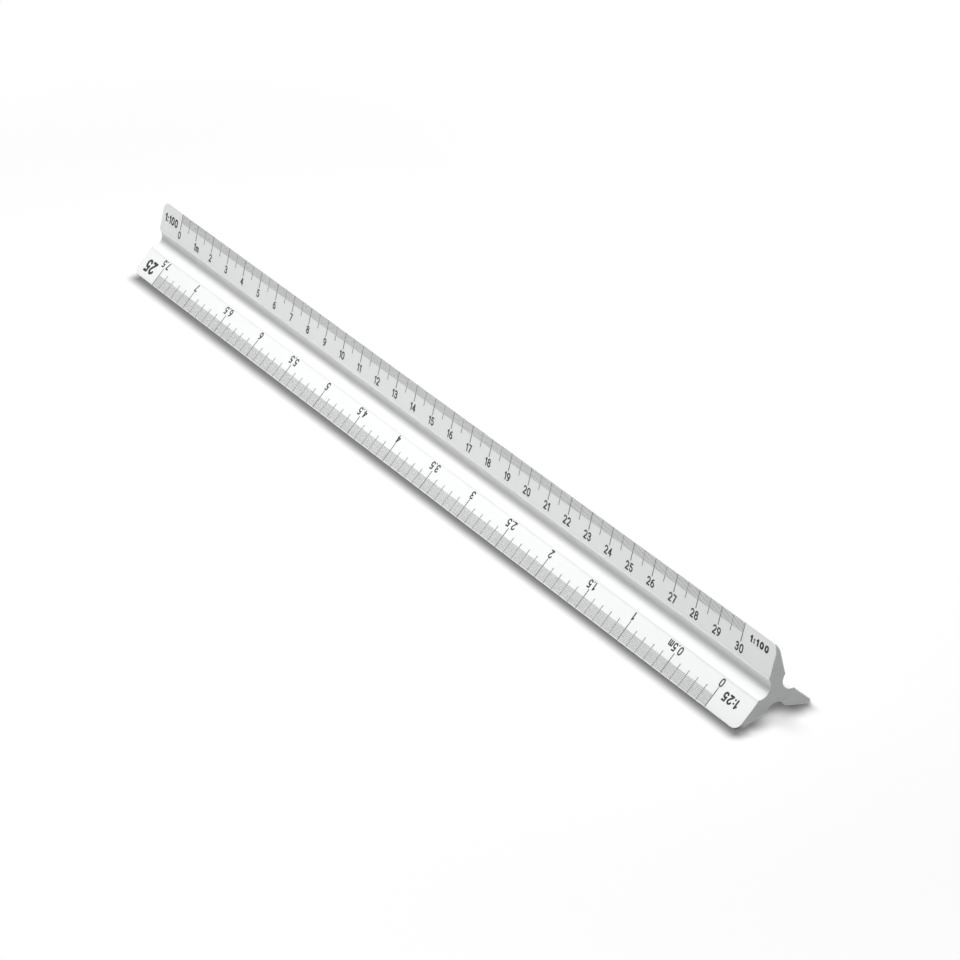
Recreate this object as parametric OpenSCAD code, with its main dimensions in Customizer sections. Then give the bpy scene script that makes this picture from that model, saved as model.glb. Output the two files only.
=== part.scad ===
/* [Length] */
// Length of every printed scale, mm
scale_length = 300; // [200:1:400]
// Bare length between the scales and the end face on the +X side, mm
near_margin = 14; // [9:0.5:24]
// Bare length between the scales and the end face on the -X side, mm
far_margin = 12; // [9:0.5:24]

/* [Wing section] */
// Distance from the bar axis to a tip edge, mm
wing_reach = 14.85; // [13.5:0.05:18]
// Wing thickness at a tip edge, facings included, mm
tip_thickness = 0.5; // [0.45:0.05:1.2]
// Distance from the bar axis to a shoulder, measured along the wing, mm
shoulder_reach = 5.35; // [5:0.05:6]
// Wing thickness across the shoulders, mm
shoulder_thickness = 5.35; // [5:0.05:6.2]
// Width of the narrow flat between a shoulder and its flute, mm
shoulder_land = 0.2; // [0.1:0.05:0.4]
// Distance from the bar axis to the floor of a flute, mm
flute_floor = 2.8; // [2.2:0.05:3.2]
// Radius of the rounded wing corners at both ends, mm
corner_r = 2.6; // [1:0.1:5]
// Overrun of the corner arcs past the tip edge and the end face, which they meet at a slight angle, mm
corner_overrun = 0.05; // [0.02:0.01:0.1]

/* [Facings] */
// Thickness of a facing strip, mm
facing_thickness = 0.15; // [0.1:0.01:0.18]
// Width of the bare lip between a facing and its shoulder, mm
shoulder_lip = 0.4; // [0.25:0.05:0.8]
// Clearance between a facing and the lip, mm
facing_clearance = 0.03; // [0.01:0.01:0.08]

/* [Graduations] */
// Thickness of the printed ink, mm
ink_thickness = 0.03; // [0.02:0.01:0.05]
// Width of the numbered lines, mm
number_line_w = 0.26; // [0.15:0.01:0.4]
// Width of the lines between the numbered ones, mm
middle_line_w = 0.2; // [0.1:0.01:0.3]
// Length of the numbered lines on scales numbered in whole metres, mm
number_line_length = 5.4; // [4.5:0.1:6.5]
// Length of the numbered lines on scales numbered in half metres, mm
half_number_line_length = 6.4; // [5.4:0.1:7]
// Length of the lines between the numbered ones on scales numbered in whole metres, mm
middle_line_length = 4.6; // [3.5:0.1:5]
// Length of the lines between the numbered ones on scales numbered in half metres, mm
half_middle_line_length = 5.2; // [3.5:0.1:6]
// Bare width between the lines and the tip edge, mm
line_inset = 0.15; // [0.15:0.05:0.5]

/* [Hidden] */
$fn = 96;
wing_count = 3;
wing_step = 360 / wing_count;
half_step = wing_step / 2;
overall_length = scale_length + near_margin + far_margin;
// Middle of the scales along the bar
scale_centre = (far_margin - near_margin) / 2;
shoulder_half = shoulder_thickness / 2;
tip_half = tip_thickness / 2;
// Slope and width of a wing face, from its shoulder to its tip edge
face_angle = atan2(shoulder_half - tip_half, wing_reach - shoulder_reach);
face_width = (wing_reach - shoulder_reach) / cos(face_angle);
// The floor under a facing meets the blunt tip a little further out than the face does
floor_width = face_width + facing_thickness * tan(face_angle);
// A flute is one arc from shoulder land to shoulder land through its floor
flute_chord_reach = shoulder_reach * cos(half_step) + shoulder_half * sin(half_step);
flute_half_chord = shoulder_reach * sin(half_step) - shoulder_half * cos(half_step) - shoulder_land;
flute_depth = flute_chord_reach - flute_floor;
flute_r = (flute_half_chord * flute_half_chord + flute_depth * flute_depth) / (2 * flute_depth);
flute_centre = flute_floor + flute_r;
// The bar rests on the lower tip edges of two wings
wing_dip = 90 - half_step;
axis_height = wing_reach * sin(wing_dip) + tip_half * cos(wing_dip);
cut_margin = 1;
// Turn of each wing about the bar axis
upright_wing = 0;
front_wing = wing_step;
rear_wing = -wing_step;
// Side of a wing: the second is the mirror image of the first
first_side = 0;
second_side = 1;
// Millimetres in a metre
metre = 1000;
// Slack in counting lines, so that rounding never drops the last one
count_slack = 0.001;
white = [0.95, 0.95, 0.94];
ink = [0.12, 0.12, 0.13];
lacquer = [0.88, 0.88, 0.87];

// Local frame of a wing: x along the bar, z from the axis to the tip
module on_wing(turn) {
    translate([0, 0, axis_height])
        rotate([turn, 0, 0])
            children();
}

// Local frame of a wing face: x along the bar, y out of the face, z from the shoulder to the tip
module on_face(turn, side) {
    on_wing(turn)
        mirror([0, side, 0])
            translate([0, shoulder_half, shoulder_reach])
                rotate([face_angle, 0, 0])
                    children();
}

// Point of a wing's section: along the face from the shoulder, and out of the face
function face_point(along, out) =
    [shoulder_half - along * sin(face_angle) + out * cos(face_angle),
     shoulder_reach + along * cos(face_angle) + out * sin(face_angle)];

// The same point on the opposite face of the wing
function opposite(point) = [-point[0], point[1]];

// Outline of one wing of the core from shoulder to shoulder, stepped down to seat a facing on each side
function wing_outline() =
    let (side = [face_point(0, 0), face_point(shoulder_lip, 0), face_point(shoulder_lip, -facing_thickness),
                 face_point(floor_width, -facing_thickness)])
    concat(side, [for (k = [len(side) - 1 : -1 : 0]) opposite(side[k])]);

// The same outline turned about the bar axis
function turned(points, angle) =
    [for (p = points) [p[0] * cos(angle) - p[1] * sin(angle), p[0] * sin(angle) + p[1] * cos(angle)]];

// Section of one facing, cut flush with the blunt tip
module facing_section() {
    seat = shoulder_lip + facing_clearance;
    polygon([face_point(seat, 0), face_point(seat, -facing_thickness),
             face_point(floor_width, -facing_thickness), face_point(face_width, 0)]);
}

// Run of a section along the whole bar
module along_bar() {
    rotate([90, 0, 90])
        linear_extrude(height = overall_length, center = true)
            children();
}

// Whole section of the bar: three wings round a hub, with a round flute between every two wings
module bar_section() {
    difference() {
        polygon([for (k = [0 : wing_count - 1]) each turned(wing_outline(), k * wing_step)]);
        for (k = [0 : wing_count - 1])
            rotate(k * wing_step + half_step)
                translate([0, flute_centre])
                    circle(r = flute_r);
    }
}

// Waste taken off both corners of one wing
module corner_waste(turn) {
    waste_thickness = shoulder_thickness + 2 * cut_margin;
    setback = corner_r - corner_overrun;
    on_wing(turn)
        for (end = [0, 1])
            mirror([end, 0, 0])
                translate([overall_length / 2 - setback, 0, wing_reach - setback])
                    rotate([90, 0, 0])
                        linear_extrude(height = waste_thickness, center = true)
                            difference() {
                                square(corner_r + cut_margin);
                                circle(r = corner_r);
                            }
}

// One facing strip with its ends rounded like the wing
module facing(turn, side) {
    color(white)
        difference() {
            on_wing(turn)
                mirror([0, side, 0])
                    along_bar()
                        facing_section();
            corner_waste(turn);
        }
}

// One printed line that starts beside the tip edge
module printed_line(place, line_w, line_length) {
    translate([place - line_w / 2, 0, face_width - line_inset - line_length])
        cube([line_w, ink_thickness, line_length]);
}

// Numbered and middle lines of a scale 1:ratio, zero at the left when the tip edge is held up.
// number_step and middle_step are true distances in metres
module graduations(turn, side, ratio, number_step, middle_step) {
    middle_pitch = middle_step * metre / ratio;
    lines_per_number = round(number_step / middle_step);
    last_line = floor(scale_length / middle_pitch + count_slack);
    half_metres = number_step < 1;
    numbered_length = half_metres ? half_number_line_length : number_line_length;
    middle_length = half_metres ? half_middle_line_length : middle_line_length;
    reading = side == first_side ? -1 : 1;
    color(ink)
        on_face(turn, side)
            for (n = [0 : last_line]) {
                numbered = n % lines_per_number == 0;
                printed_line(scale_centre + reading * (n * middle_pitch - scale_length / 2),
                             numbered ? number_line_w : middle_line_w,
                             numbered ? numbered_length : middle_length);
            }
}

module core_extrusion() {
    color(lacquer)
        difference() {
            on_wing(upright_wing)
                along_bar()
                    bar_section();
            for (turn = [upright_wing, front_wing, rear_wing])
                corner_waste(turn);
        }
}

module facing_100() {
    facing(upright_wing, second_side);
}

module facing_25() {
    facing(front_wing, first_side);
}

module facing_20() {
    facing(upright_wing, first_side);
}

module facing_50() {
    facing(rear_wing, second_side);
}

module facing_75() {
    facing(front_wing, second_side);
}

module facing_125() {
    facing(rear_wing, first_side);
}

module graduations_100() {
    graduations(upright_wing, second_side, ratio = 100, number_step = 1, middle_step = 0.5);
}

module graduations_25() {
    graduations(front_wing, first_side, ratio = 25, number_step = 0.5, middle_step = 0.1);
}

module graduations_20() {
    graduations(upright_wing, first_side, ratio = 20, number_step = 0.5, middle_step = 0.1);
}

module graduations_50() {
    graduations(rear_wing, second_side, ratio = 50, number_step = 1, middle_step = 0.2);
}

module graduations_75() {
    graduations(front_wing, second_side, ratio = 75, number_step = 1, middle_step = 0.5);
}

module graduations_125() {
    graduations(rear_wing, first_side, ratio = 125, number_step = 1, middle_step = 0.5);
}

core_extrusion();
facing_100();
facing_25();
facing_20();
facing_50();
facing_75();
facing_125();
graduations_100();
graduations_25();
graduations_20();
graduations_50();
graduations_75();
graduations_125();
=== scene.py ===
"""Looks of a triangular scale ruler, built around its packed construction model.

Everything is in metres in the construction frame: X along the bar, Z up, the bar lying on two
wing tips at Z = 0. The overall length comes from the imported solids; the sizes of the section
and of the printing are the real ones.
"""

import logging
import math
from dataclasses import dataclass, field
from enum import Enum
from typing import Any, Optional, Sequence, Union

import bmesh
import bpy
from mathutils import Matrix, Vector
from mathutils.geometry import delaunay_2d_cdt


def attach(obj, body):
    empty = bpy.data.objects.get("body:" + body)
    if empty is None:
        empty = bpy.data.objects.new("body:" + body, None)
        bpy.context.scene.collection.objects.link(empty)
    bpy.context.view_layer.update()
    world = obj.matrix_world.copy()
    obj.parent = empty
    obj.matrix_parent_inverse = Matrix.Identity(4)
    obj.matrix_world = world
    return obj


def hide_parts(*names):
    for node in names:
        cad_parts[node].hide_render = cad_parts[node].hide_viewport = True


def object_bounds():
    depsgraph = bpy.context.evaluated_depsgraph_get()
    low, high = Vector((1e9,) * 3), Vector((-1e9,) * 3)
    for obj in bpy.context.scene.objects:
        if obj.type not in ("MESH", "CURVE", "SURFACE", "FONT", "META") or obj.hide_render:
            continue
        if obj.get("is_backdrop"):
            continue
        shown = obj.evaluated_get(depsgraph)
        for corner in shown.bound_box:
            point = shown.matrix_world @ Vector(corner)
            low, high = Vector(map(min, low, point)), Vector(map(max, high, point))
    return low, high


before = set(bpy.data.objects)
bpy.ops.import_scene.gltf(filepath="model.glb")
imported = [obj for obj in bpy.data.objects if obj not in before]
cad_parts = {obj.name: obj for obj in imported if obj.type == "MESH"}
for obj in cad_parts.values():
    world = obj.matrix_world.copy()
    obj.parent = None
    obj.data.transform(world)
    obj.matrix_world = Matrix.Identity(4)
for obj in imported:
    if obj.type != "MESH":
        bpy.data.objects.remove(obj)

LOG = logging.getLogger("scale_ruler")
MM = 0.001
BODY = "root"
# Half the angle between two wings, and the slope of a lower wing below level
HALF_STEP = math.radians(60.0)
WING_DIP = math.radians(30.0)
# Edges that turn more than this are broken with a narrow round of a few facets
SHARP_EDGE = math.radians(24.0)
ROUND_FACETS = 2
# Slack in counting lines, so that rounding never drops the last one
COUNT_SLACK = 0.001
ACROSS_BAR = Vector((0.0, 1.0, 0.0))

Colour = tuple[float, float, float]
Stretch = tuple[float, float, float]
Limits = tuple[float, float]
Point = tuple[float, float]
Profile = list[Point]
Value = Union["Signal", float]


class Wing(Enum):
    """Turn of each wing about the bar's axis, in degrees, from upright towards the front."""

    UPRIGHT = 0.0
    FRONT = 120.0
    REAR = 240.0

    @property
    def turn(self) -> float:
        """Turn about the bar's axis, in radians."""
        return math.radians(self.value)


class Side(Enum):
    """The two faces of a wing, as the sign of the way across the wing."""

    FIRST = 1
    SECOND = -1


class Slot(Enum):
    """Material slots of the record."""

    CORE = "core"
    FACING = "facing"
    INK = "ink"


# Node trees


class Signal:
    """One node output whose arithmetic adds Math nodes."""

    def __init__(self, tree: "NodeTree", socket: bpy.types.NodeSocket) -> None:
        """Wraps a socket of a node tree."""
        self.tree = tree
        self.socket = socket

    def __add__(self, other: Value) -> "Signal":
        """self + other."""
        return self.tree.math("ADD", self, other)

    def __sub__(self, other: Value) -> "Signal":
        """self - other."""
        return self.tree.math("SUBTRACT", self, other)

    def __rsub__(self, other: float) -> "Signal":
        """other - self."""
        return self.tree.math("SUBTRACT", other, self)

    def __mul__(self, other: Value) -> "Signal":
        """self * other."""
        return self.tree.math("MULTIPLY", self, other)

    def __pow__(self, other: float) -> "Signal":
        """self to the power other."""
        return self.tree.math("POWER", self, other)

    def __abs__(self) -> "Signal":
        """Size without sign."""
        return self.tree.math("ABSOLUTE", self)

    __radd__ = __add__
    __rmul__ = __mul__

    def at_most(self, limit: float) -> "Signal":
        """The smaller of this value and a limit."""
        return self.tree.math("MINIMUM", self, limit)

    def rises(self, low: Value, high: Value) -> "Signal":
        """Smooth step of this value.

        Args:
            low: value at which the step is 0.
            high: value at which the step is 1.

        Returns:
            The step, from 0 to 1.
        """
        settings = {"interpolation_type": "SMOOTHSTEP"}
        limits = {"Value": self, "From Min": low, "From Max": high, "To Min": 0.0, "To Max": 1.0}
        return self.tree.node("ShaderNodeMapRange", settings, limits)

    def between(self, low: float, high: float) -> "Signal":
        """Goes from low to high as this value goes from 0 to 1."""
        return self * (high - low) + low

    def swings(self, size: float) -> "Signal":
        """Goes half the size down and up as this value goes from 0 to 1."""
        return (self - 0.5) * size

    def hypotenuse(self, other: "Signal") -> "Signal":
        """Straight distance over this way and another at right angles to it."""
        return (self * self + other * other) ** 0.5

    def output(self, name: str) -> "Signal":
        """Another output of the same node."""
        return Signal(self.tree, self.socket.node.outputs[name])


class NodeTree:
    """A node tree with one way to add any node."""

    def __init__(self, tree: bpy.types.NodeTree) -> None:
        """Wraps an empty tree."""
        self.tree = tree

    def node(self, kind: str, settings: Optional[dict[str, Any]] = None,
             inputs: Optional[dict[Union[str, int], Any]] = None) -> Signal:
        """Adds one node.

        Args:
            kind: Blender's name of the node's type.
            settings: values of the node itself.
            inputs: a value or a Signal for each socket, by name or place.

        Returns:
            The node's first output that is in use, or its first input where it has none.
        """
        made = self.tree.nodes.new(kind)
        for name, value in (settings or {}).items():
            setattr(made, name, value)
        for key, value in (inputs or {}).items():
            if isinstance(value, Signal):
                self.tree.links.new(value.socket, made.inputs[key])
            else:
                made.inputs[key].default_value = value
        shown = [s for s in made.outputs if s.enabled] or list(made.inputs)
        return Signal(self, shown[0])

    def math(self, operation: str, *values: Value) -> Signal:
        """Adds one Math node.

        Args:
            operation: Blender's name of the operation.
            values: its inputs in order.

        Returns:
            The node's output.
        """
        return self.node("ShaderNodeMath", {"operation": operation}, dict(enumerate(values)))


class ShaderTree(NodeTree):
    """The node tree of a material or a world."""

    EVEN: Stretch = (1.0, 1.0, 1.0)
    # Places of the sockets that a Mix node has for colours
    MIX_FACTOR, MIX_FIRST, MIX_SECOND, MIX_RESULT = 0, 6, 7, 2

    def __init__(self, owner: Union[bpy.types.Material, bpy.types.World]) -> None:
        """Empties the tree of its owner.

        Args:
            owner: the material or world.
        """
        owner.use_nodes = True
        owner.node_tree.nodes.clear()
        super().__init__(owner.node_tree)

    def place(self, scale: Stretch = EVEN) -> Signal:
        """Object coordinates, stretched.

        Args:
            scale: factor along each axis.

        Returns:
            The scaled coordinates.
        """
        point = self.node("ShaderNodeTexCoord").output("Object")
        return self.node("ShaderNodeMapping", {"vector_type": "POINT"}, {"Vector": point, "Scale": scale})

    def noise(self, scale: float, detail: float, stretch: Stretch = EVEN) -> Signal:
        """Smooth noise on Object coordinates.

        Args:
            scale: waves in a metre.
            detail: octaves.
            stretch: factor along each axis.

        Returns:
            The noise, from 0 to 1.
        """
        inputs = {"Vector": self.place(stretch), "Scale": scale, "Detail": detail}
        return self.node("ShaderNodeTexNoise", {"noise_dimensions": "3D"}, inputs)

    def mix(self, factor: Signal, first: Union[Signal, Colour], second: Union[Signal, Colour]) -> Signal:
        """Mix of two colours.

        Args:
            factor: 0 gives the first colour and 1 the second.
            first: first colour.
            second: second colour.

        Returns:
            The mixed colour.
        """
        pair = [v if isinstance(v, Signal) else (*v, 1.0) for v in (first, second)]
        inputs = {self.MIX_FACTOR: factor, self.MIX_FIRST: pair[0], self.MIX_SECOND: pair[1]}
        mixed = self.node("ShaderNodeMix", {"data_type": "RGBA"}, inputs)
        return Signal(self, mixed.socket.node.outputs[self.MIX_RESULT])

    def bump(self, height: Signal, strength: float, distance: float) -> Signal:
        """Bumped normal.

        Args:
            height: height from 0 to 1.
            strength: share of the effect.
            distance: depth in metres at height 1.

        Returns:
            The normal.
        """
        inputs = {"Height": height, "Strength": strength, "Distance": distance}
        return self.node("ShaderNodeBump", None, inputs)

    def seen_plainly(self) -> Signal:
        """Whether the floor or the surroundings are looked at, and not gathered from as light.

        Returns:
            1 where the camera, gloss or glass looks, 0 elsewhere.
        """
        path = self.node("ShaderNodeLightPath")
        seen = path.output("Is Camera Ray")
        for kind in ("Is Glossy Ray", "Is Transmission Ray"):
            seen = self.math("MAXIMUM", seen, path.output(kind))
        return seen

    def end_in(self, shader: Signal, kind: str = "ShaderNodeOutputMaterial") -> None:
        """Sends a shader to the tree's output."""
        self.node(kind, None, {"Surface": shader})


# Finishes


@dataclass(frozen=True)
class FacingFinish:
    """White satin plastic: calendered grain, and handling marks near the tip edges."""

    white: Colour = (0.922, 0.932, 0.930)
    handled: Colour = (0.79, 0.80, 0.795)
    handled_share: float = 0.35
    handled_width: float = 1.2 * MM
    roughness: float = 0.38
    roughness_swing: float = 0.12
    specular: float = 0.4
    grain_per_metre: float = 5200.0
    grain_detail: float = 2.0
    grain_stretch: Stretch = (0.25, 1.0, 1.0)
    grain_depth: float = 0.004 * MM
    grain_strength: float = 0.35
    smudge_per_metre: float = 55.0
    smudge_detail: float = 4.0
    smudge_stretch: Stretch = (0.35, 1.0, 1.0)
    smudge_zone: Limits = (0.45, 0.75)

    def make(self, section: "BarSection") -> bpy.types.Material:
        """Builds the material.

        Args:
            section: the bar's section, which gives the place of the tip edges.

        Returns:
            The material.
        """
        material = bpy.data.materials.new("white_satin_plastic")
        shader = ShaderTree(material)
        touched = shader.noise(self.smudge_per_metre, self.smudge_detail, self.smudge_stretch)
        smudge = touched.rises(*self.smudge_zone)
        tip = section.wing_reach
        edge = reach_from_axis(shader, section).rises(tip - self.handled_width, tip)
        grain = shader.noise(self.grain_per_metre, self.grain_detail, self.grain_stretch)
        surface = shader.node("ShaderNodeBsdfPrincipled", None, {
            "Base Color": shader.mix(smudge * edge * self.handled_share, self.white, self.handled),
            "Roughness": self.roughness + smudge.swings(self.roughness_swing),
            "Normal": shader.bump(grain, self.grain_strength, self.grain_depth),
            "Specular IOR Level": self.specular,
        })
        shader.end_in(surface)
        return material


@dataclass(frozen=True)
class CoreFinish:
    """White lacquered bar with drawing lines along it, bare sawn metal on the cut ends, and painted shade
    that darkens the lacquer deep in the flutes.
    """

    lacquer: Colour = (0.912, 0.922, 0.920)
    # Painted shade: the lacquer is darkened to this colour deep in the flutes, within this reach from the
    # axis
    flute_painted_shade: Colour = (0.83, 0.835, 0.835)
    flute_shade_zone: Limits = (5.0 * MM, 5.9 * MM)
    metal: Colour = (0.404, 0.414, 0.411)
    metal_dark: Colour = (0.374, 0.383, 0.381)
    bare_zone: Limits = (0.35, 0.6)
    lacquer_roughness: float = 0.48
    sawn_roughness: float = 0.55
    roughness_swing: float = 0.12
    specular: float = 0.2
    blotch_per_metre: float = 420.0
    lines_per_metre: float = 2600.0
    line_stretch: Stretch = (0.012, 1.0, 1.0)
    line_depth: float = 0.006 * MM
    line_strength: float = 0.3
    saw_per_metre: float = 2300.0
    saw_stretch: Stretch = (1.0, 0.06, 1.0)
    saw_depth: float = 0.01 * MM
    saw_zone: Limits = (0.35, 0.65)
    detail: float = 3.0

    def make(self, section: "BarSection") -> bpy.types.Material:
        """Builds the material.

        Args:
            section: the bar's section, which gives the place of the flutes.

        Returns:
            The material.
        """
        material = bpy.data.materials.new("lacquered_bar")
        shader = ShaderTree(material)
        # Painted shade in the flutes: the lacquer turns darker nearer the bar's axis
        unshaded = reach_from_axis(shader, section).rises(*self.flute_shade_zone)
        lacquer = shader.mix(unshaded, self.flute_painted_shade, self.lacquer)
        normal = shader.node("ShaderNodeNewGeometry").output("Normal")
        bare = abs(shader.node("ShaderNodeSeparateXYZ", None, {0: normal})).rises(*self.bare_zone)
        drawn = shader.noise(self.lines_per_metre, self.detail, self.line_stretch)
        sawn = shader.noise(self.saw_per_metre, self.detail, self.saw_stretch)
        blotch = shader.noise(self.blotch_per_metre, self.detail)
        metal = shader.mix(sawn.rises(*self.saw_zone), self.metal_dark, self.metal)
        lines = drawn * (1.0 - bare) * (self.line_depth / self.saw_depth) + sawn * bare
        roughness = bare.between(self.lacquer_roughness, self.sawn_roughness)
        surface = shader.node("ShaderNodeBsdfPrincipled", None, {
            "Base Color": shader.mix(bare, lacquer, metal),
            "Metallic": bare,
            "Roughness": roughness + blotch.swings(self.roughness_swing),
            "Normal": shader.bump(lines, self.line_strength, self.saw_depth),
            "Specular IOR Level": self.specular,
        })
        shader.end_in(surface)
        return material


@dataclass(frozen=True)
class InkFinish:
    """Printed ink: near black, matte, a little uneven in density."""

    dense: Colour = (0.035, 0.036, 0.039)
    thin: Colour = (0.085, 0.086, 0.09)
    thin_zone: Limits = (0.4, 0.75)
    roughness: float = 0.62
    roughness_swing: float = 0.2
    specular: float = 0.3
    density_per_metre: float = 900.0
    density_detail: float = 3.0

    def make(self) -> bpy.types.Material:
        """Builds the material.

        Returns:
            The material.
        """
        material = bpy.data.materials.new("printed_ink")
        shader = ShaderTree(material)
        density = shader.noise(self.density_per_metre, self.density_detail)
        surface = shader.node("ShaderNodeBsdfPrincipled", None, {
            "Base Color": shader.mix(density.rises(*self.thin_zone), self.dense, self.thin),
            "Roughness": self.roughness + density.swings(self.roughness_swing),
            "Specular IOR Level": self.specular,
        })
        shader.end_in(surface)
        return material


def reach_from_axis(shader: ShaderTree, section: "BarSection") -> Signal:
    """Distance from the bar's axis.

    Args:
        shader: tree that gets the nodes.
        section: the bar's section, which gives the height of the axis.

    Returns:
        The distance, in metres.
    """
    place = shader.node("ShaderNodeSeparateXYZ", None, {0: shader.place()})
    up = place.output("Z") - section.axis_height
    return place.output("Y").hypotenuse(up)


# The bar


@dataclass(frozen=True)
class BarSection:
    """Section of the bar: three tapered wings round a hub, with a round flute between each pair."""

    wing_reach: float = 14.85 * MM
    tip_thickness: float = 0.5 * MM
    shoulder_reach: float = 5.35 * MM
    shoulder_thickness: float = 5.35 * MM
    shoulder_land: float = 0.2 * MM
    flute_floor: float = 2.8 * MM
    facing_thickness: float = 0.15 * MM
    shoulder_lip: float = 0.4 * MM
    facing_clearance: float = 0.03 * MM
    corner_radius: float = 2.6 * MM
    flute_steps: int = 28
    corner_steps: int = 10

    @property
    def face_angle(self) -> float:
        """Slope of a wing face against the wing's middle plane, in radians."""
        rise = (self.shoulder_thickness - self.tip_thickness) / 2
        return math.atan2(rise, self.wing_reach - self.shoulder_reach)

    @property
    def axis_height(self) -> float:
        """Height of the bar's axis above the surface that the bar lies on."""
        return self.wing_reach * math.sin(WING_DIP) + self.tip_thickness / 2 * math.cos(WING_DIP)

    @property
    def contact_half_width(self) -> float:
        """Half the distance between the two edges that the bar lies on."""
        return self.wing_reach * math.cos(WING_DIP) - self.tip_thickness / 2 * math.sin(WING_DIP)

    def along_face(self, reach: float, out: float) -> float:
        """Way along a face to a given reach.

        Args:
            reach: distance from the bar's axis, measured along the wing.
            out: height above the face.

        Returns:
            The way along the face from its shoulder.
        """
        return (reach - self.shoulder_reach - out * math.sin(self.face_angle)) / math.cos(self.face_angle)

    def face_point(self, along: float, out: float) -> Point:
        """Point of a wing's section on its first side.

        Args:
            along: way along the face from its shoulder.
            out: height above the face.

        Returns:
            The way across the wing, and the reach from the axis.
        """
        slope = self.face_angle
        across = self.shoulder_thickness / 2 - along * math.sin(slope) + out * math.cos(slope)
        return across, self.shoulder_reach + along * math.cos(slope) + out * math.sin(slope)

    def wing_profile(self, reach: float) -> Profile:
        """Outline of one wing of the core, stepped down to seat the facings.

        Args:
            reach: where the tip is cut off.

        Returns:
            The outline from the first shoulder to the second.
        """
        depth = -self.facing_thickness
        side = [self.face_point(0.0, 0.0), self.face_point(self.shoulder_lip, 0.0),
                self.face_point(self.shoulder_lip, depth),
                self.face_point(self.along_face(reach, depth), depth)]
        return side + [(-across, up) for across, up in reversed(side)]

    def flute_profile(self) -> Profile:
        """Arc of one flute, in the frame of the line between two wings.

        Returns:
            The arc's points from wing to wing.
        """
        along, aside = math.cos(HALF_STEP), math.sin(HALF_STEP)
        chord_reach = self.shoulder_reach * along + self.shoulder_thickness / 2 * aside
        half_chord = self.shoulder_reach * aside - self.shoulder_thickness / 2 * along - self.shoulder_land
        depth = chord_reach - self.flute_floor
        radius = (half_chord ** 2 + depth ** 2) / (2 * depth)
        sweep = math.atan2(half_chord, radius - depth)
        turns = [sweep * (1 - 2 * k / self.flute_steps) for k in range(self.flute_steps + 1)]
        return [(radius * math.sin(t), self.flute_floor + radius - radius * math.cos(t)) for t in turns]

    def facing_profile(self, side: Side, reach: float) -> Profile:
        """Outline of one facing.

        Args:
            side: face of the wing.
            reach: where the tip is cut off.

        Returns:
            The outline, four corners.
        """
        depth = -self.facing_thickness
        seat = self.shoulder_lip + self.facing_clearance
        corners = [self.face_point(seat, depth), self.face_point(seat, 0.0),
                   self.face_point(self.along_face(reach, 0.0), 0.0),
                   self.face_point(self.along_face(reach, depth), depth)]
        return [(side.value * across, up) for across, up in corners]

    def turned(self, profile: Profile, turn: float, x: float) -> list[Vector]:
        """Places a profile in the construction frame.

        Args:
            profile: points as way across and reach.
            turn: turn about the bar's axis, in radians.
            x: place along the bar.

        Returns:
            The points.
        """
        return [Vector((x, a * math.cos(turn) - r * math.sin(turn),
                        self.axis_height + a * math.sin(turn) + r * math.cos(turn))) for a, r in profile]

    def core_ring(self, x: float, reach: float) -> list[Vector]:
        """Whole outline of the core at one place along the bar.

        Args:
            x: place along the bar.
            reach: where the tips are cut off.

        Returns:
            The outline's points.
        """
        ring: list[Vector] = []
        for wing in Wing:
            ring += self.turned(self.wing_profile(reach), wing.turn, x)
            ring += self.turned(self.flute_profile(), wing.turn + HALF_STEP, x)
        return ring

    def stations(self, half_length: float) -> list[tuple[float, float]]:
        """Places along the bar at which its outline changes, with the reach of the tips there.

        Args:
            half_length: half the bar's length.

        Returns:
            Pairs of place and reach, from end to end.
        """
        radius = self.corner_radius
        start, reach = half_length - radius, self.wing_reach - radius
        turns = [math.pi / 2 * k / self.corner_steps for k in range(self.corner_steps + 1)]
        near = [(start + radius * math.sin(t), reach + radius * math.cos(t)) for t in turns]
        return [(-x, r) for x, r in reversed(near)] + near

    def face_frame(self, wing: Wing, side: Side) -> Matrix:
        """Frame of a wing face: X the way its scale reads, Y towards the tip edge, Z out of the face.

        Args:
            wing: wing of the bar.
            side: face of the wing.

        Returns:
            The frame, its origin on the tip edge at mid-length.
        """
        slope = self.face_angle
        flat = [(side.value * self.tip_thickness / 2, self.wing_reach),
                (-side.value * math.sin(slope), math.cos(slope)),
                (side.value * math.cos(slope), math.sin(slope))]
        origin, tipward, outward = self.turned(flat, wing.turn, 0.0)
        rise = Vector((0.0, 0.0, self.axis_height))
        tipward = tipward - rise
        outward = outward - rise
        reading = tipward.cross(outward)
        return placed_axes(origin, reading, tipward, outward)


def placed_axes(origin: Vector, x_axis: Vector, y_axis: Vector, z_axis: Vector) -> Matrix:
    """Matrix of a frame.

    Args:
        origin: the frame's origin.
        x_axis: direction of its X.
        y_axis: direction of its Y.
        z_axis: direction of its Z.

    Returns:
        The matrix that takes the frame's own coordinates to the construction frame.
    """
    matrix = Matrix((x_axis, y_axis, z_axis)).transposed().to_4x4()
    matrix.translation = origin
    return matrix


def new_piece(name: str, mesh: bpy.types.Mesh, material: bpy.types.Material) -> bpy.types.Object:
    """Adds a piece that rides on the bar.

    Args:
        name: the piece's name.
        mesh: its mesh, in place.
        material: its finish.

    Returns:
        The piece.
    """
    piece = bpy.data.objects.new(name, mesh)
    bpy.context.scene.collection.objects.link(piece)
    mesh.materials.clear()
    mesh.materials.append(material)
    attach(piece, BODY)
    LOG.info("%s: %d faces", name, len(mesh.polygons))
    return piece


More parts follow.
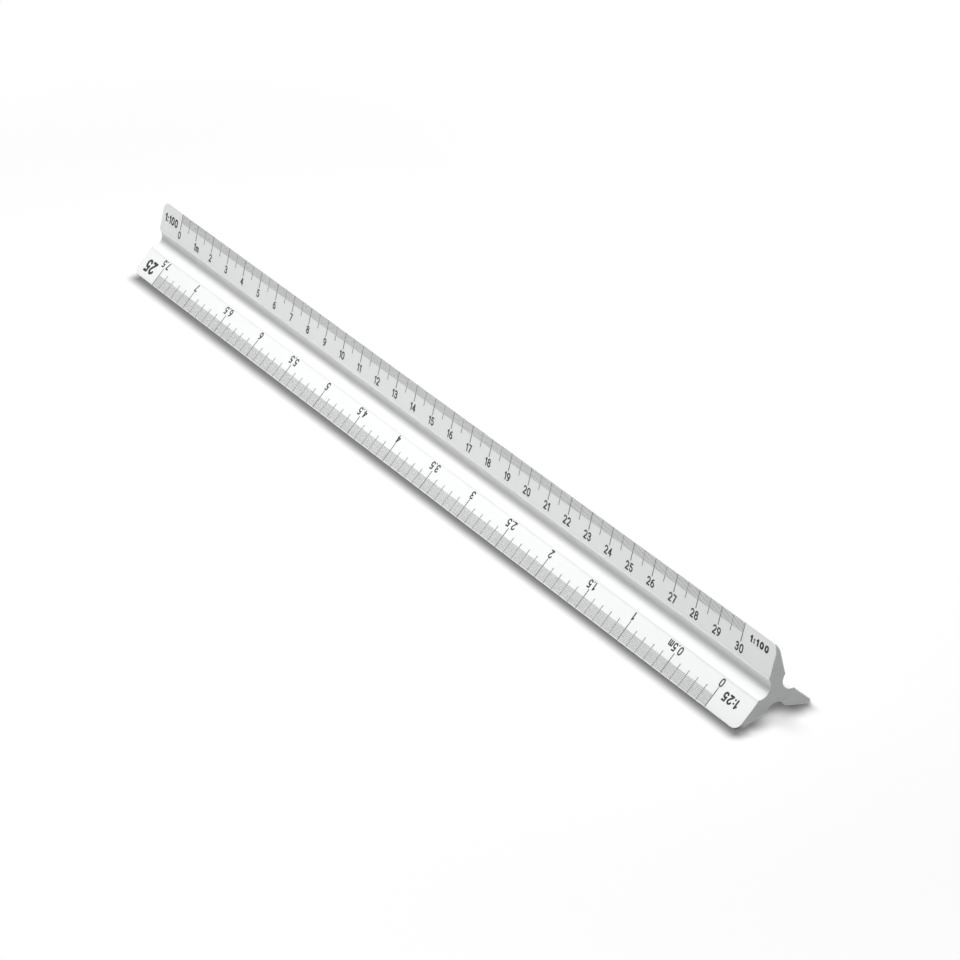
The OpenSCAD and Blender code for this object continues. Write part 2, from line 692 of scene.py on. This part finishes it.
def loft(name: str, rings: Sequence[Sequence[Vector]]) -> bpy.types.Mesh:
    """Closed mesh through rings of as many points each.

    Args:
        name: the mesh's name.
        rings: outlines in order.

    Returns:
        The mesh, smooth along its curves.
    """
    shape = bmesh.new()
    made = [[shape.verts.new(p) for p in ring] for ring in rings]
    count = len(made[0])
    for first, second in zip(made, made[1:]):
        for k in range(count):
            shape.faces.new((first[k], first[(k + 1) % count], second[(k + 1) % count], second[k]))
    shape.faces.new(made[0])
    shape.faces.new(made[-1])
    bmesh.ops.recalc_face_normals(shape, faces=shape.faces)
    mesh = bpy.data.meshes.new(name)
    shape.to_mesh(mesh)
    shape.free()
    mesh.shade_smooth()
    return mesh


def soften_edges(piece: bpy.types.Object, width: float) -> None:
    """Breaks a piece's sharp edges with a narrow round.

    Args:
        piece: the piece.
        width: width of the round.
    """
    bevel = piece.modifiers.new("edge_break", "BEVEL")
    bevel.limit_method = "ANGLE"
    bevel.angle_limit = SHARP_EDGE
    bevel.width = width
    bevel.segments = ROUND_FACETS
    bevel.harden_normals = True


@dataclass
class FlutedCore:
    """The drawn bar that carries the facings."""

    section: BarSection
    half_length: float
    finish: CoreFinish = field(default_factory=CoreFinish)
    edge_break: float = 0.02 * MM

    def build(self) -> bpy.types.Object:
        """Builds the bar in its finish, in place of its plain solid.

        Returns:
            The bar's piece.
        """
        rings = [self.section.core_ring(x, reach) for x, reach in self.section.stations(self.half_length)]
        mesh = loft("fluted_core", rings)
        piece = new_piece("fluted_core", mesh, self.finish.make(self.section))
        soften_edges(piece, self.edge_break)
        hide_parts("core_extrusion")
        return piece


# Printing


@dataclass(frozen=True)
class LineBand:
    """Sizes of the fine lines beside a tip edge."""

    step_m: float
    width: float
    length: float
    inset: float = 0.15 * MM
    ink: float = 0.02 * MM


@dataclass(frozen=True)
class PenLine:
    """Straight piece of a pen stroke, in a box one unit high."""

    start: Point
    end: Point

    def path(self) -> list[Vector]:
        """Points of the pen's way."""
        return [Vector(self.start), Vector(self.end)]


@dataclass(frozen=True)
class PenArc:
    """Curved piece of a pen stroke: part of an ellipse, from one angle to another in degrees."""

    centre: Point
    radii: tuple[float, float]
    start: float
    end: float
    facet: float = 16.0

    def path(self) -> list[Vector]:
        """Points of the pen's way.

        Returns:
            The points from start to end.
        """
        sweep = self.end - self.start
        steps = math.ceil(abs(sweep) / self.facet)
        turns = [math.radians(self.start + sweep * k / steps) for k in range(steps + 1)]
        (x, y), (wide, tall) = self.centre, self.radii
        return [Vector((x + wide * math.cos(t), y + tall * math.sin(t))) for t in turns]


PenStroke = tuple[Union[PenLine, PenArc], ...]


@dataclass(frozen=True)
class Figure:
    """One figure: the width of the pen's way and its strokes, each without a sharp turn."""

    width: float
    strokes: tuple[PenStroke, ...]


def straight(*corners: Point) -> tuple[PenStroke, ...]:
    """Strokes from corner to corner.

    Args:
        corners: the corners in order.

    Returns:
        One stroke for each straight piece.
    """
    return tuple((PenLine(start, end),) for start, end in zip(corners, corners[1:]))


def closed_bowl(x: float, y: float, radius_x: float, radius_y: float,
                straight: float = 0.0) -> tuple[PenStroke, ...]:
    """Two strokes round a whole oval.

    Args:
        x: middle across.
        y: middle up.
        radius_x: half its width.
        radius_y: height of its rounded part.
        straight: half the length of its straight sides.

    Returns:
        The left and the right half.
    """
    radii = (radius_x, radius_y)
    top, foot = (x, y + straight), (x, y - straight)
    return ((PenArc(top, radii, 90.0, 180.0), PenArc(foot, radii, 180.0, 270.0)),
            (PenArc(top, radii, 90.0, 0.0), PenArc(foot, radii, 0.0, -90.0)))


FIGURES = {
    "0": Figure(0.56, closed_bowl(0.28, 0.5, 0.28, 0.36, 0.14)),
    "1": Figure(0.26, straight((0.24, 0.0), (0.24, 1.0), (0.02, 0.77))),
    "2": Figure(0.56, ((PenArc((0.28, 0.72), (0.28, 0.28), 165.0, -42.0),
                        PenLine((0.488, 0.533), (0.02, 0.0))),
                       (PenLine((0.02, 0.0), (0.56, 0.0)),))),
    "3": Figure(0.55, ((PenArc((0.26, 0.77), (0.25, 0.23), 155.0, -90.0),
                        PenLine((0.26, 0.54), (0.17, 0.54))),
                       (PenArc((0.26, 0.27), (0.28, 0.27), 90.0, -155.0),))),
    "4": Figure(0.58, straight((0.42, 0.0), (0.42, 1.0), (0.0, 0.29), (0.58, 0.29))),
    "5": Figure(0.55, straight((0.5, 1.0), (0.09, 1.0), (0.05, 0.52))
                + ((PenArc((0.26, 0.31), (0.29, 0.31), 137.0, -152.0),),)),
    "6": Figure(0.56, ((PenArc((0.5, 0.3), (0.5, 0.7), 98.0, 180.0),
                        PenArc((0.28, 0.3), (0.28, 0.3), 180.0, 360.0)),
                       (PenArc((0.28, 0.3), (0.28, 0.3), 0.0, 180.0),))),
    "7": Figure(0.54, straight((0.0, 1.0), (0.54, 1.0), (0.17, 0.0))),
    "8": Figure(0.56, closed_bowl(0.28, 0.77, 0.24, 0.23) + closed_bowl(0.28, 0.27, 0.28, 0.27)),
    "9": Figure(0.56, ((PenArc((0.06, 0.7), (0.5, 0.7), -82.0, 0.0),
                        PenArc((0.28, 0.7), (0.28, 0.3), 0.0, 180.0)),
                       (PenArc((0.28, 0.7), (0.28, 0.3), 180.0, 360.0),))),
    ":": Figure(0.02, straight((0.0, 0.12), (0.02, 0.12)) + straight((0.0, 0.62), (0.02, 0.62))),
    ".": Figure(0.02, straight((0.0, 0.0), (0.02, 0.0))),
    "m": Figure(0.68, ((PenLine((0.0, 0.0), (0.0, 0.66)),),
                       (PenArc((0.17, 0.47), (0.17, 0.19), 180.0, 0.0),
                        PenLine((0.34, 0.47), (0.34, 0.0))),
                       (PenArc((0.51, 0.47), (0.17, 0.19), 180.0, 0.0),
                        PenLine((0.68, 0.47), (0.68, 0.0))))),
}


@dataclass(frozen=True)
class Lettering:
    """Style of some figures: their height, and width, pen and gaps as shares of it."""

    cap: float = 2.65 * MM
    wide: float = 0.92
    pen: float = 0.172
    gap: float = 0.1
    ink: float = 0.02 * MM

    @property
    def way(self) -> float:
        """Height of the pen's way as a share of the figures' height."""
        return 1.0 - self.pen


@dataclass(frozen=True)
class EndMark:
    """Figures beyond an end of a scale: what they say, their style and their middle."""

    words: str
    style: Lettering
    from_end: float
    from_tip: float


@dataclass(frozen=True)
class ScaleSpec:
    """One printed scale: its ratio, its face and its divisions in true metres."""

    ratio: int
    wing: Wing
    side: Side
    number_step_m: float
    middle_step_m: float
    band: LineBand
    figure_from_tip: float = 7.3 * MM
    ratio_from_tip: float = 5.6 * MM
    far_mark: Optional[EndMark] = None

    def pitch(self, step_m: float) -> float:
        """Printed length of a true length."""
        return step_m / self.ratio


class GraduationLines:
    """Geometry Nodes tree that prints a row of fine lines and leaves out those that the solids hold."""

    SOCKETS = {"Count": "Int", "Pitch": "Float", "Line width": "Float", "Line length": "Float",
               "Ink height": "Float", "Inset": "Float", "Lines per longer line": "Int", "Ink": "Material"}

    def __init__(self) -> None:
        """Builds the tree."""
        self.group = bpy.data.node_groups.new("graduation_lines", "GeometryNodeTree")
        self.group.is_modifier = True
        for name, kind in self.SOCKETS.items():
            self.group.interface.new_socket(name=name, in_out="INPUT", socket_type="NodeSocket" + kind)
        self.group.interface.new_socket(name="Geometry", in_out="OUTPUT", socket_type="NodeSocketGeometry")
        self._wire(NodeTree(self.group))

    @staticmethod
    def _wire(tree: NodeTree) -> None:
        """Wires the tree: points in a row, a thin bar on each, plain mesh and ink.

        Args:
            tree: the tree with its sockets.
        """
        given = tree.node("NodeGroupInput")
        length, ink_height = given.output("Line length"), given.output("Ink height")
        step = tree.node("ShaderNodeCombineXYZ", None, {"X": given.output("Pitch")})
        row = tree.node("GeometryNodeMeshLine", {"mode": "OFFSET"},
                        {"Count": given.output("Count"), "Offset": step})
        size = tree.node("ShaderNodeCombineXYZ", None,
                         {"X": given.output("Line width"), "Y": length, "Z": ink_height})
        bar = tree.node("GeometryNodeMeshCube", None, {"Size": size})
        shift = tree.node("ShaderNodeCombineXYZ", None,
                          {"Y": length * -0.5 - given.output("Inset"), "Z": ink_height * 0.5})
        placed = tree.node("GeometryNodeTransform", None, {"Geometry": bar, "Translation": shift})
        index = tree.node("GeometryNodeInputIndex")
        rest = tree.math("FLOORED_MODULO", index, given.output("Lines per longer line"))
        shorter = tree.node("FunctionNodeCompare", {"data_type": "FLOAT", "operation": "GREATER_THAN"},
                            {0: rest, 1: 0.5})
        lines = tree.node("GeometryNodeInstanceOnPoints", None,
                          {"Points": row, "Selection": shorter, "Instance": placed})
        plain = tree.node("GeometryNodeRealizeInstances", None, {"Geometry": lines})
        inked = tree.node("GeometryNodeSetMaterial", None,
                          {"Geometry": plain, "Material": given.output("Ink")})
        tree.node("NodeGroupOutput", None, {"Geometry": inked})

    def print_row(self, name: str, values: dict[str, Any], place: Matrix) -> bpy.types.Mesh:
        """Prints one row as a plain mesh.

        Args:
            name: the mesh's name.
            values: the tree's inputs by name.
            place: frame of the row.

        Returns:
            The mesh, in place.
        """
        holder = bpy.data.objects.new(name, bpy.data.meshes.new(name))
        bpy.context.scene.collection.objects.link(holder)
        modifier = holder.modifiers.new("lines", "NODES")
        modifier.node_group = self.group
        for item in self.group.interface.items_tree:
            if item.in_out == "INPUT":
                modifier[item.identifier] = values[item.name]
        ready = holder.evaluated_get(bpy.context.evaluated_depsgraph_get())
        mesh = bpy.data.meshes.new_from_object(ready)
        holder.modifiers.remove(modifier)
        bpy.data.objects.remove(holder)
        mesh.name = name
        mesh.transform(place)
        return mesh


class FigurePress:
    """Draws figures with a round pen, as thin closed meshes, and gathers them into one."""

    CAP_FACETS = 5
    # Gaps under which corners are merged, and pieces of a stroke are joined
    NEAR = 1e-5
    JOINED = 0.01
    # The kind of result that fills the outlines and nothing else
    INSIDE_ONLY = 1

    def __init__(self) -> None:
        """Starts with an empty sheet."""
        self.sheet = bmesh.new()

    def _outline(self, path: Sequence[Vector], half: float) -> list[Vector]:
        """Outline of one stroke with round ends.

        Args:
            path: the pen's way.
            half: half the pen's width.

        Returns:
            The outline's corners, anticlockwise.
        """
        last = len(path) - 1
        ahead = [(path[min(k + 1, last)] - path[max(k - 1, 0)]).normalized() for k in range(last + 1)]
        right = [Vector((a.y, -a.x)) for a in ahead]
        turns = [math.pi * k / self.CAP_FACETS for k in range(1, self.CAP_FACETS)]
        ring = [p + n * half for p, n in zip(path, right)]
        ring += [path[last] + (right[last] * math.cos(t) + ahead[last] * math.sin(t)) * half for t in turns]
        ring += [p - n * half for p, n in zip(reversed(path), reversed(right))]
        ring += [path[0] - (right[0] * math.cos(t) + ahead[0] * math.sin(t)) * half for t in turns]
        return ring

    @classmethod
    def _pen_way(cls, stroke: PenStroke, style: Lettering, start: float) -> list[Vector]:
        """Way of the pen in one stroke.

        Args:
            stroke: the stroke.
            style: style of the figures.
            start: where its figure starts along the line of figures.

        Returns:
            The way, in shares of the figures' height.
        """
        way: list[Vector] = []
        for piece in stroke:
            path = piece.path()
            joined = bool(way) and (way[-1] - path[0]).length < cls.JOINED
            way += path[1:] if joined else path
        return [Vector((start + p.x * style.way * style.wide, p.y * style.way)) for p in way]

    @staticmethod
    def _advance(figure: Figure, style: Lettering) -> float:
        """Way from the start of one figure to the start of the next."""
        return figure.width * style.way * style.wide + style.pen + style.gap

    def _area(self, words: str, style: Lettering) -> tuple[list[Vector], list[Sequence[int]]]:
        """Flat area of some figures, with the strokes of each merged.

        Args:
            words: the figures.
            style: their style.

        Returns:
            Its corners and its triangles.
        """
        corners: list[Vector] = []
        outlines: list[list[int]] = []
        start = 0.0
        for letter in words:
            for stroke in FIGURES[letter].strokes:
                ring = self._outline(self._pen_way(stroke, style, start), style.pen / 2)
                outlines.append(list(range(len(corners), len(corners) + len(ring))))
                corners += ring
            start += self._advance(FIGURES[letter], style)
        found = delaunay_2d_cdt(corners, [], outlines, self.INSIDE_ONLY, self.NEAR, True)
        merged, _, triangles, _, _, origins = found
        return merged, [t for t, origin in zip(triangles, origins) if origin]

    def stamp(self, words: str, place: Matrix, centre: Point, style: Lettering, unit: str = "") -> None:
        """Adds some figures to the sheet.

        Args:
            words: the figures.
            place: frame of the face.
            centre: middle of the figures in that frame.
            style: their style.
            unit: what follows the figures and is left out in finding their middle.
        """
        length = sum(self._advance(FIGURES[letter], style) for letter in words) - style.pen - style.gap
        corners, triangles = self._area(words + unit, style)
        shape = Matrix.Diagonal((style.cap, style.cap, style.ink, 1.0))
        lift = Matrix.Translation((-length / 2, -style.way / 2, 0.0))
        put = place @ Matrix.Translation((*centre, 0.0)) @ shape @ lift
        used = sorted({k for t in triangles for k in t})
        low = {k: self.sheet.verts.new(put @ Vector((*corners[k], 0.0))) for k in used}
        high = {k: self.sheet.verts.new(put @ Vector((*corners[k], 1.0))) for k in used}
        edges = {(t[k - 1], t[k]) for t in triangles for k in range(3)}
        for a, b, c in triangles:
            self.sheet.faces.new((high[a], high[b], high[c]))
            self.sheet.faces.new((low[c], low[b], low[a]))
        for a, b in sorted(edges):
            if (b, a) not in edges:
                self.sheet.faces.new((low[a], low[b], high[b], high[a]))

    def print_sheet(self, name: str) -> bpy.types.Mesh:
        """Ends the sheet.

        Args:
            name: the mesh's name.

        Returns:
            The mesh of all its figures.
        """
        bmesh.ops.recalc_face_normals(self.sheet, faces=self.sheet.faces)
        mesh = bpy.data.meshes.new(name)
        self.sheet.to_mesh(mesh)
        self.sheet.free()
        return mesh


@dataclass
class PrintedFace:
    """One facing with its graduations and figures."""

    spec: ScaleSpec
    section: BarSection
    half_length: float
    figures: Lettering = Lettering()
    ratio_figures: Lettering = Lettering(cap=2.9 * MM, wide=0.97, pen=0.21, gap=0.11)
    ratio_from_zero: float = 6.1 * MM
    scale_length: float = 300.0 * MM
    scale_centre: float = -1.0 * MM
    edge_break: float = 0.015 * MM

    @property
    def zero(self) -> Matrix:
        """Place of the scale's zero.

        Returns:
            The frame of the face with its origin there, on the tip edge.
        """
        middle = self.section.face_frame(self.spec.wing, self.spec.side)
        middle.translation.x = self.scale_centre
        return middle @ Matrix.Translation((-self.scale_length / 2, 0.0, 0.0))

    def count(self, pitch: float) -> int:
        """Number of lines or figures from zero to the end of the scale."""
        return int(self.scale_length / pitch + COUNT_SLACK) + 1

    def build_facing(self, material: bpy.types.Material) -> None:
        """Builds the facing strip in place of its plain solid.

        Args:
            material: its finish.
        """
        name = f"white_facing_{self.spec.ratio}"
        rings = []
        for x, reach in self.section.stations(self.half_length):
            profile = self.section.facing_profile(self.spec.side, reach)
            rings.append(self.section.turned(profile, self.spec.wing.turn, x))
        piece = new_piece(name, loft(name, rings), material)
        soften_edges(piece, self.edge_break)
        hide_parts(f"facing_{self.spec.ratio}")

    def build_lines(self, lines: GraduationLines, ink: bpy.types.Material) -> None:
        """Prints the fine lines, and inks the longer ones of the solids.

        Args:
            lines: tree that makes the rows.
            ink: the ink.
        """
        band = self.spec.band
        pitch = self.spec.pitch(band.step_m)
        values = {
            "Count": self.count(pitch), "Pitch": pitch, "Line width": band.width,
            "Line length": band.length, "Ink height": band.ink, "Inset": band.inset,
            "Lines per longer line": round(self.spec.middle_step_m / band.step_m), "Ink": ink,
        }
        name = f"fine_lines_{self.spec.ratio}"
        new_piece(name, lines.print_row(name, values, self.zero), ink)
        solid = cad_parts[f"graduations_{self.spec.ratio}"]
        solid.data.materials.clear()
        solid.data.materials.append(ink)

    def build_figures(self, ink: bpy.types.Material) -> None:
        """Prints the numbers along the scale, its ratio before zero and any mark beyond its end.

        Args:
            ink: the ink.
        """
        press = FigurePress()
        spec = self.spec
        pitch = spec.pitch(spec.number_step_m)
        for k in range(self.count(pitch)):
            unit = "m" if k == 1 else ""
            press.stamp(f"{k * spec.number_step_m:g}", self.zero, (k * pitch, -spec.figure_from_tip),
                        self.figures, unit)
        press.stamp(f"1:{spec.ratio}", self.zero, (-self.ratio_from_zero, -spec.ratio_from_tip),
                    self.ratio_figures)
        mark = spec.far_mark
        if mark:
            place = (self.scale_length + mark.from_end, -mark.from_tip)
            press.stamp(mark.words, self.zero, place, mark.style)
        name = f"figures_{spec.ratio}"
        new_piece(name, press.print_sheet(name), ink)


HALF_METRE_BAND = LineBand(step_m=0.01, width=0.115 * MM, length=3.7 * MM, inset=0.3 * MM)
WHOLE_METRE_BAND = LineBand(step_m=0.05, width=0.13 * MM, length=2.9 * MM)

SCALES = (
    ScaleSpec(100, Wing.UPRIGHT, Side.SECOND, number_step_m=1.0, middle_step_m=0.5,
              band=LineBand(step_m=0.05, width=0.12 * MM, length=2.9 * MM), ratio_from_tip=4.5 * MM,
              far_mark=EndMark("1:100", Lettering(cap=2.15 * MM, wide=1.2, pen=0.28, gap=0.22),
                               from_end=7.1 * MM, from_tip=2.85 * MM)),
    ScaleSpec(25, Wing.FRONT, Side.FIRST, number_step_m=0.5, middle_step_m=0.1,
              band=HALF_METRE_BAND, figure_from_tip=8.0 * MM,
              far_mark=EndMark("25", Lettering(cap=4.6 * MM, wide=0.86, pen=0.2, gap=0.05),
                               from_end=6.2 * MM, from_tip=4.4 * MM)),
    ScaleSpec(20, Wing.UPRIGHT, Side.FIRST, number_step_m=0.5, middle_step_m=0.1,
              band=HALF_METRE_BAND, figure_from_tip=8.0 * MM),
    ScaleSpec(50, Wing.REAR, Side.SECOND, number_step_m=1.0, middle_step_m=0.2,
              band=LineBand(step_m=0.02, width=0.13 * MM, length=2.9 * MM)),
    ScaleSpec(75, Wing.FRONT, Side.SECOND, number_step_m=1.0, middle_step_m=0.5, band=WHOLE_METRE_BAND),
    ScaleSpec(125, Wing.REAR, Side.FIRST, number_step_m=1.0, middle_step_m=0.5, band=WHOLE_METRE_BAND),
)


# Studio


@dataclass(frozen=True)
class Viewpoint:
    """Place and direction of the camera."""

    azimuth: float = 56.315
    elevation: float = 29.734
    place: tuple[float, float, float] = (795.954 * MM, -515.968 * MM, 536.792 * MM)
    focal_px: float = 3666.8
    frame_px: float = 960.0
    sensor: float = 36.0
    clip_start: float = 0.01

    def build(self) -> None:
        """Adds the camera and makes it the scene's."""
        data = bpy.data.cameras.new("camera")
        data.sensor_width = self.sensor
        data.lens = self.focal_px * self.sensor / self.frame_px
        data.clip_start = self.clip_start
        turn = math.radians(self.azimuth)
        tilt = math.radians(self.elevation)
        right = Vector((math.cos(turn), math.sin(turn), 0.0))
        back = Vector((math.sin(turn) * math.cos(tilt), -math.cos(turn) * math.cos(tilt), math.sin(tilt)))
        camera = bpy.data.objects.new("camera", data)
        camera.matrix_world = placed_axes(Vector(self.place), right, back.cross(right), back)
        bpy.context.scene.collection.objects.link(camera)
        bpy.context.scene.camera = camera


@dataclass(frozen=True)
class Lamp:
    """A soft oblong lamp that points at the bar's middle, its length along the bar."""

    name: str
    place: tuple[float, float, float]
    length: float
    width: float
    power: float

    def build(self) -> None:
        """Adds the lamp."""
        data = bpy.data.lights.new(self.name, "AREA")
        data.shape = "RECTANGLE"
        data.size = self.length
        data.size_y = self.width
        data.energy = self.power
        back = Vector(self.place).normalized()
        right = ACROSS_BAR.cross(back).normalized()
        lamp = bpy.data.objects.new(self.name, data)
        lamp.matrix_world = placed_axes(Vector(self.place), right, back.cross(right), back)
        bpy.context.scene.collection.objects.link(lamp)


@dataclass(frozen=True)
class Studio:
    """Pale floor, soft overhead lamp and dim surroundings.

    The floor is shaded along the front tip edge (contact), at the near end (foot) and below the bar
    (tunnel). Pairs of sizes are for the far and the near end, or for the start and the end of a zone.
    """

    section: BarSection
    half_length: float
    floor_colour: Colour = (0.96, 0.96, 0.96)
    floor_roughness: float = 0.9
    glow_share: Limits = (0.65, 1.0)
    glow_reach: Limits = (30.0 * MM, 180.0 * MM)
    glow_colour: Colour = (1.0, 1.0, 1.0)
    contact_colour: Colour = (0.22, 0.22, 0.22)
    contact_width: Limits = (5.7 * MM, 4.8 * MM)
    contact_shift: Limits = (0.7 * MM, 0.3 * MM)
    contact_far_gap: float = 5.2 * MM
    foot_reach: Limits = (-5.5 * MM, 2.5 * MM)
    foot_start: Limits = (0.0, 8.0 * MM)
    foot_end: Limits = (10.5 * MM, 13.2 * MM)
    foot_fade: float = 8.0 * MM
    tunnel_shade: float = 0.92
    tunnel_mouth: Limits = (-0.5 * MM, 5.0 * MM)
    floor_half: float = 6.0
    ambient: float = 0.14
    lamp: Lamp = Lamp("overhead", place=(-0.03, -0.037, 0.65), length=0.36, width=0.19, power=4.58)

    def build(self) -> None:
        """Builds floor, surroundings and lamp."""
        half = self.floor_half
        corners = [(-half, -half, 0.0), (half, -half, 0.0), (half, half, 0.0), (-half, half, 0.0)]
        mesh = bpy.data.meshes.new("floor")
        mesh.from_pydata(corners, [], [(0, 1, 2, 3)])
        floor = bpy.data.objects.new("floor", mesh)
        bpy.context.scene.collection.objects.link(floor)
        mesh.materials.append(self._floor_material())
        floor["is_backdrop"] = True
        self._surroundings()
        self.lamp.build()
        bpy.context.scene.view_settings.view_transform = "Standard"

    def _floor_material(self) -> bpy.types.Material:
        """Matte pale floor that shows white away from the bar, with shades beside and below it.

        Returns:
            The material.
        """
        material = bpy.data.materials.new("pale_floor")
        shader = ShaderTree(material)
        place = shader.node("ShaderNodeSeparateXYZ", None, {0: shader.place()})
        across = place.output("Y")
        inward = self.half_length - abs(place)
        clear = self._clear_of_front(place, across) * self._clear_of_feet(place, across)
        inside = self.section.contact_half_width - abs(across)
        covered = inside.rises(0.0, self.section.tip_thickness)
        open_sky = 1.0 - inward.rises(*self.tunnel_mouth) * covered * self.tunnel_shade
        lit = shader.node("ShaderNodeBsdfPrincipled", None, {
            "Base Color": shader.mix(clear, self.contact_colour, self.floor_colour),
            "Roughness": self.floor_roughness,
            "Specular IOR Level": 0.0,
        })
        glow = shader.node("ShaderNodeEmission", None, {
            "Color": shader.mix(clear * open_sky, self.contact_colour, self.glow_colour),
            "Strength": 1.0,
        })
        beyond_end = inward.at_most(0.0)
        share = beyond_end.hypotenuse(across).rises(*self.glow_reach).between(*self.glow_share)
        shader.end_in(shader.node("ShaderNodeMixShader", None,
                                  {0: shader.seen_plainly() * share, 1: lit, 2: glow}))
        return material

    def _clear_of_front(self, along: Signal, across: Signal) -> Signal:
        """How clear the floor is of the shade along the front tip edge.

        Args:
            along: place along the bar.
            across: place across the bar.

        Returns:
            0 in full shade, 1 outside it.
        """
        nearness = along.rises(-self.half_length, self.half_length)
        shift = nearness.between(*self.contact_shift)
        width = nearness.between(*self.contact_width)
        middle = self.contact_far_gap / 2
        within = (self.half_length - middle) - abs(along - middle)
        beyond_end = within.at_most(0.0)
        from_tip = across + self.section.contact_half_width + shift
        return beyond_end.hypotenuse(from_tip).rises(0.0, width)

    def _clear_of_feet(self, along: Signal, across: Signal) -> Signal:
        """How clear the floor is of the shade at the feet of the near end.

        The camera alone sees that shade, so that the bare end mirrors a clear floor.

        Args:
            along: place along the bar.
            across: place across the bar.

        Returns:
            0 in full shade, 1 outside it.
        """
        aside = abs(across)
        foot = aside.rises(*self.foot_start) * (1.0 - aside.rises(*self.foot_end))
        under_bar = (self.half_length + along).rises(0.0, self.foot_fade)
        seen = along.tree.node("ShaderNodeLightPath").output("Is Camera Ray")
        return 1.0 - (self.half_length - along).rises(*self.foot_reach) * under_bar * foot * seen

    def _surroundings(self) -> None:
        """Dim light from all round, which the camera, gloss and glass see as white."""
        world = bpy.data.worlds.new("surroundings")
        bpy.context.scene.world = world
        shader = ShaderTree(world)
        white = (1.0, 1.0, 1.0, 1.0)
        dim = shader.node("ShaderNodeBackground", None, {"Color": white, "Strength": self.ambient})
        bright = shader.node("ShaderNodeBackground", None, {"Color": white, "Strength": 1.0})
        both = shader.node("ShaderNodeMixShader", None, {0: shader.seen_plainly(), 1: dim, 2: bright})
        shader.end_in(both, "ShaderNodeOutputWorld")


def main() -> None:
    """Builds the ruler's looks and the studio."""
    logging.basicConfig(level=logging.INFO, format="%(name)s: %(message)s")
    cad_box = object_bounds()
    half_length = cad_box[1].x
    section = BarSection()
    Viewpoint().build()
    Studio(section, half_length).build()
    FlutedCore(section, half_length).build()
    white = FacingFinish().make(section)
    ink = InkFinish().make()
    lines = GraduationLines()
    for spec in SCALES:
        face = PrintedFace(spec, section, half_length)
        face.build_facing(white)
        face.build_lines(lines, ink)
        face.build_figures(ink)


if __name__ == "__main__":
    main()
